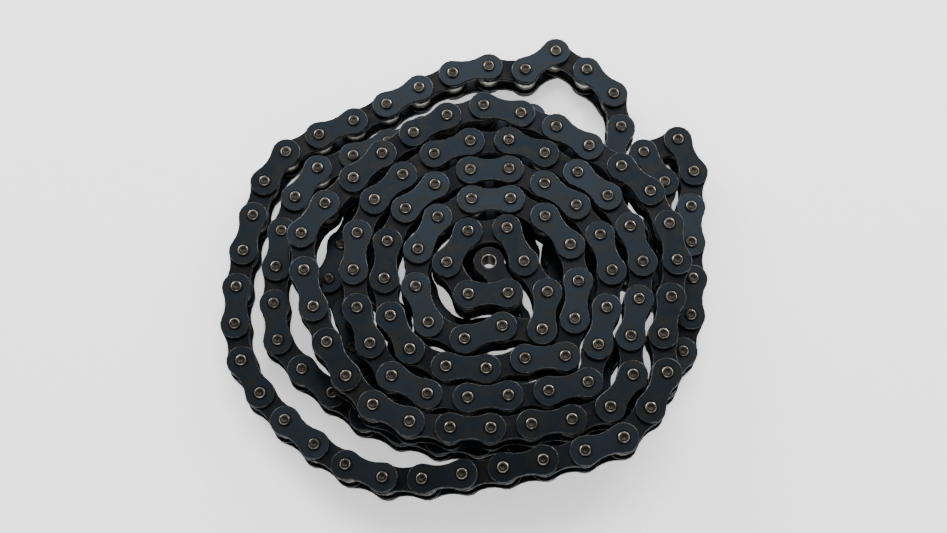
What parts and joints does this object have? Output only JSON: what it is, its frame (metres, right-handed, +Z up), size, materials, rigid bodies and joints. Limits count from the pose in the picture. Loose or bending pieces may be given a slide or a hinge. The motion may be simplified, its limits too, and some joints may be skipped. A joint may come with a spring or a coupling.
{
  "type": "heap of roller chain",
  "caption": "Length of steel roller chain coiled flat into a two-layer spiral heap, with one end free at the middle and a loose bend at the outside.",
  "frame": {"origin": "middle of the heap's bounding box, on the floor", "axes": "+Z up, along the chain's pins; +X to the right and +Y away from the viewer as the heap is seen from the front"},
  "size_m": [0.1616, 0.1613, 0.0266],
  "materials": {
    "blued_steel": "blued",
    "dark_steel": "dark heat-treated",
    "bright_steel": "satin"
  },
  "bodies": {
    "heap": {"first_outer_plate_upper": "blued_steel", "first_outer_plate_lower": "blued_steel", "hinge_pin_first": "bright_steel", "hinge_pin_second": "bright_steel", "upper_run_01": "blued_steel", "upper_run_02": "blued_steel", "upper_run_03": "blued_steel", "upper_run_04": "blued_steel", "upper_run_05": "blued_steel", "upper_run_06": "blued_steel", "upper_run_07": "blued_steel", "upper_run_08": "blued_steel", "upper_run_09": "blued_steel", "upper_run_10": "blued_steel", "upper_run_11": "blued_steel", "upper_run_12": "blued_steel", "upper_run_13": "blued_steel", "upper_run_14": "blued_steel", "upper_run_15": "blued_steel", "upper_run_16": "blued_steel", "upper_run_17": "blued_steel", "upper_run_18": "blued_steel", "upper_run_19": "blued_steel", "upper_run_20": "blued_steel", "upper_run_21": "blued_steel", "upper_run_22": "blued_steel", "upper_run_23": "blued_steel", "upper_run_24": "blued_steel", "upper_run_25": "blued_steel", "upper_run_26": "blued_steel", "upper_run_27": "blued_steel", "lower_ring_run_1": "blued_steel", "lower_ring_run_2": "blued_steel", "lower_ring_run_3": "blued_steel", "lower_ring_run_4": "blued_steel", "lower_core_01": "dark_steel", "lower_core_02": "dark_steel", "lower_core_03": "dark_steel", "lower_core_04": "dark_steel", "lower_core_05": "dark_steel", "lower_core_06": "dark_steel", "lower_core_07": "dark_steel", "lower_core_08": "dark_steel", "lower_core_09": "dark_steel", "lower_core_10": "dark_steel", "lower_core_11": "dark_steel", "lower_core_12": "dark_steel", "lower_core_13": "dark_steel", "lower_core_14": "dark_steel", "lower_core_15": "dark_steel"},
    "end_link": {"end_inner_plate_upper": "dark_steel", "end_inner_plate_lower": "dark_steel", "end_bush_free": "bright_steel", "end_bush_hinged": "bright_steel"},
    "free_roller": {"end_roller_free": "bright_steel"},
    "hinged_roller": {"end_roller_hinged": "bright_steel"}
  },
  "joints": [
    {"name": "end_link_hinge", "type": "hinge", "parent": "heap", "child": "end_link", "pos_m": [0.01294, -0.01698, 0.01975], "axis": [0, 0, 1], "range_deg": [-3, 12]},
    {"name": "free_roller_spin", "type": "hinge", "parent": "end_link", "child": "free_roller", "pos_m": [0.00687, -0.00582, 0.01975], "axis": [0, 0, 1], "continuous": true},
    {"name": "hinged_roller_spin", "type": "hinge", "parent": "end_link", "child": "hinged_roller", "pos_m": [0.01294, -0.01698, 0.01975], "axis": [0, 0, 1], "continuous": true}
  ]
}
